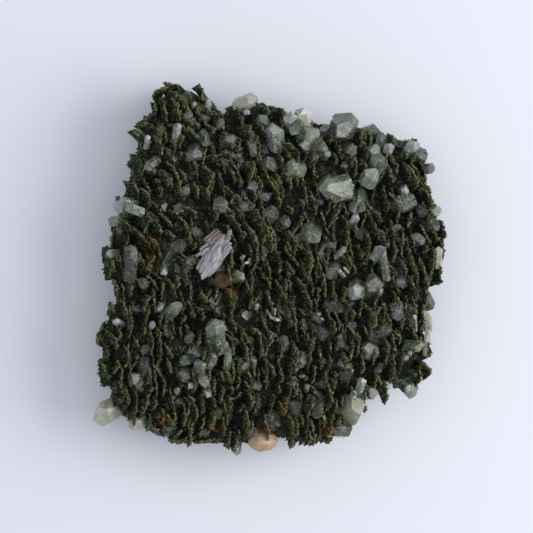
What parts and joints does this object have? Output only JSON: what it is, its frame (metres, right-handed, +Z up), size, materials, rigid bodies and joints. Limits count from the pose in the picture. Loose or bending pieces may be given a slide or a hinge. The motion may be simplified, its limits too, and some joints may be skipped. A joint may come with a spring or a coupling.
{
  "type": "epidote cluster",
  "caption": "A broken plate of leaning, granular green epidote blades with clear and milky quartz crystals grown among them; a display specimen that lies on its flat underside.",
  "frame": {"origin": "Middle of the bounding box, on the plane of the flat underside.", "axes": "+Z up out of the crystal face; +X to the right and +Y to the top of the plate as seen from above."},
  "size_m": [0.099, 0.1057, 0.0344],
  "materials": {
    "epidote": "matte",
    "clear_quartz": "gloss",
    "milky_quartz": "satin",
    "green_quartz": "gloss",
    "pearly_blades": "satin",
    "amber": "gloss",
    "rusty_stone": "matte"
  },
  "bodies": {
    "root": {"epidote_cluster": "epidote"}
  },
  "joints": []
}
